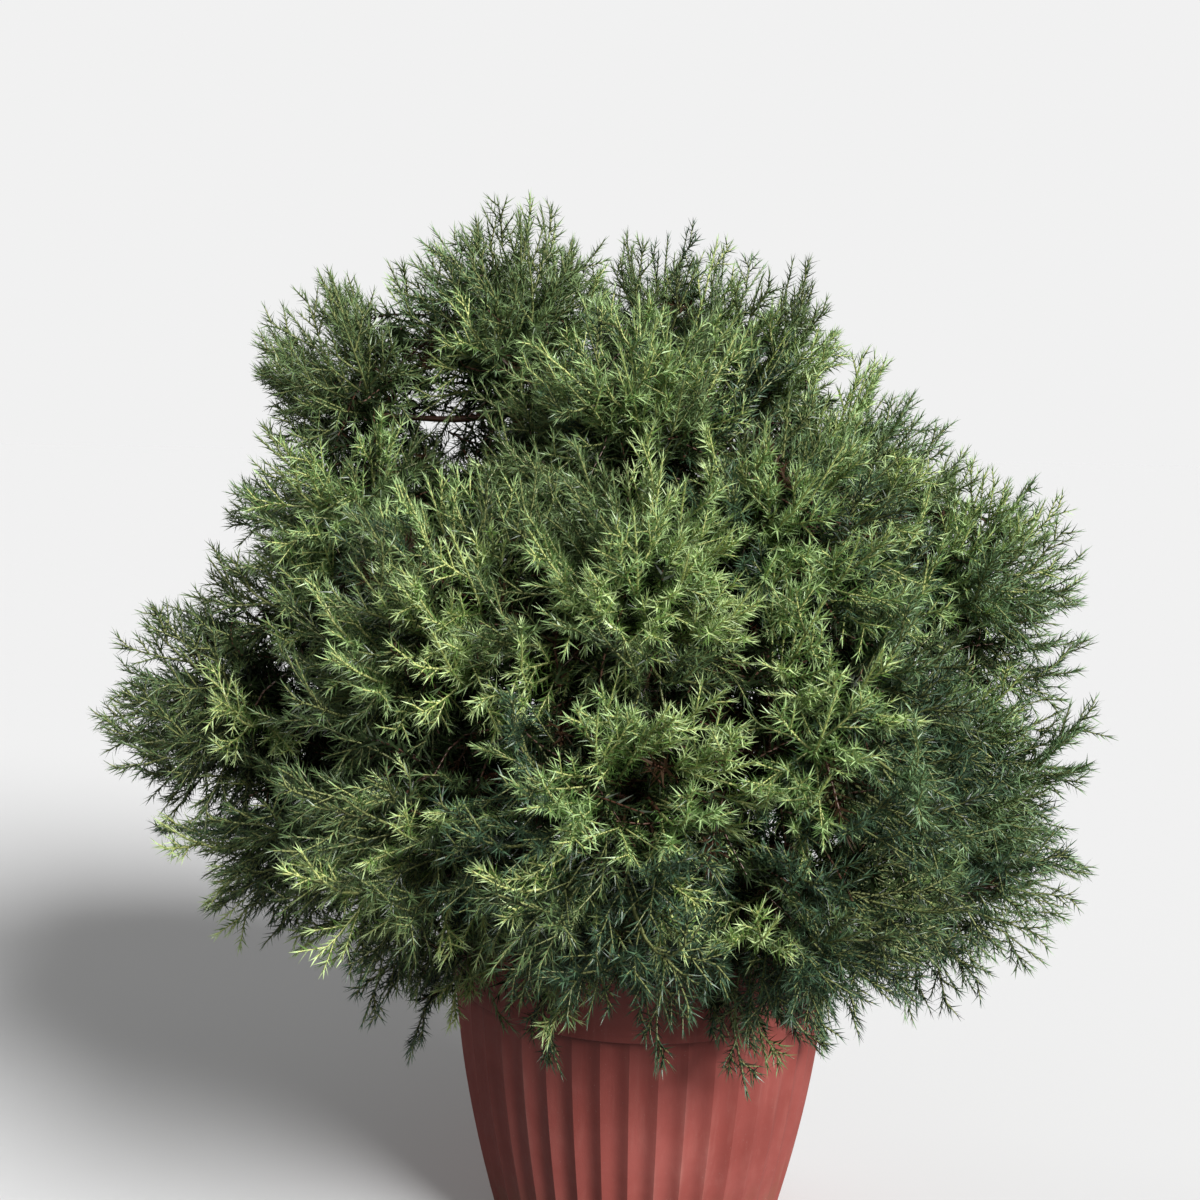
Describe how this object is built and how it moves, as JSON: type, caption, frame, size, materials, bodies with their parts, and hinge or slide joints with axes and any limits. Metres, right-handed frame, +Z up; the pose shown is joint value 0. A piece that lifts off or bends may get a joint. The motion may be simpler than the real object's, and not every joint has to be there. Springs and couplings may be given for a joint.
{
  "type": "potted dwarf cedar shrub",
  "caption": "Dense, wide-crowned dwarf conifer with drooping needle sprays, growing from a round ribbed plastic patio pot.",
  "frame": {"origin": "centre of the pot's flat underside, at the level of the ground it stands on", "axes": "+Z up along the pot's axis; -Y is the front, the crown's fuller and lower side; +X is to the right seen from the front"},
  "size_m": [1.195, 1.02, 1.257],
  "materials": {
    "pot_plastic": "satin",
    "potting_soil": "matte",
    "bark": "matte",
    "needles": "matte"
  },
  "bodies": {
    "root": {"bough_back": "bark", "bough_back_left": "bark", "bough_back_low": "bark", "bough_back_low_left": "bark", "bough_back_low_right": "bark", "bough_back_right": "bark", "bough_centre": "bark", "bough_far_right": "bark", "bough_front_left": "bark", "bough_front_low_left": "bark", "bough_front_low_right": "bark", "bough_front_right": "bark", "bough_front_skirt": "bark", "bough_leader": "bark", "bough_left_brow": "bark", "bough_left_crest": "bark", "bough_left_low": "bark", "bough_right_shoulder": "bark", "bough_right_side": "bark", "foliage_back": "needles", "foliage_back_crest": "needles", "foliage_back_left": "needles", "foliage_back_low": "needles", "foliage_back_low_left": "needles", "foliage_back_low_right": "needles", "foliage_back_right": "needles", "foliage_centre": "needles", "foliage_crest": "needles", "foliage_far_right": "needles", "foliage_front_left": "needles", "foliage_front_low": "needles", "foliage_front_low_left": "needles", "foliage_front_low_right": "needles", "foliage_front_right": "needles", "foliage_front_skirt": "needles", "foliage_left_brow": "needles", "foliage_left_crest": "needles", "foliage_left_flank": "needles", "foliage_left_lobe": "needles", "foliage_left_low": "needles", "foliage_left_shoulder": "needles", "foliage_left_skirt": "needles", "foliage_right_brow": "needles", "foliage_right_crest": "needles", "foliage_right_peak": "needles", "foliage_right_shoulder": "needles", "foliage_right_side": "needles", "foliage_right_skirt": "needles", "fringe_back": "needles", "fringe_back_left": "needles", "fringe_front": "needles", "fringe_front_left": "needles", "fringe_left": "needles", "fringe_right": "needles", "pot": "pot_plastic", "soil": "potting_soil", "stem": "bark"}
  },
  "joints": []
}
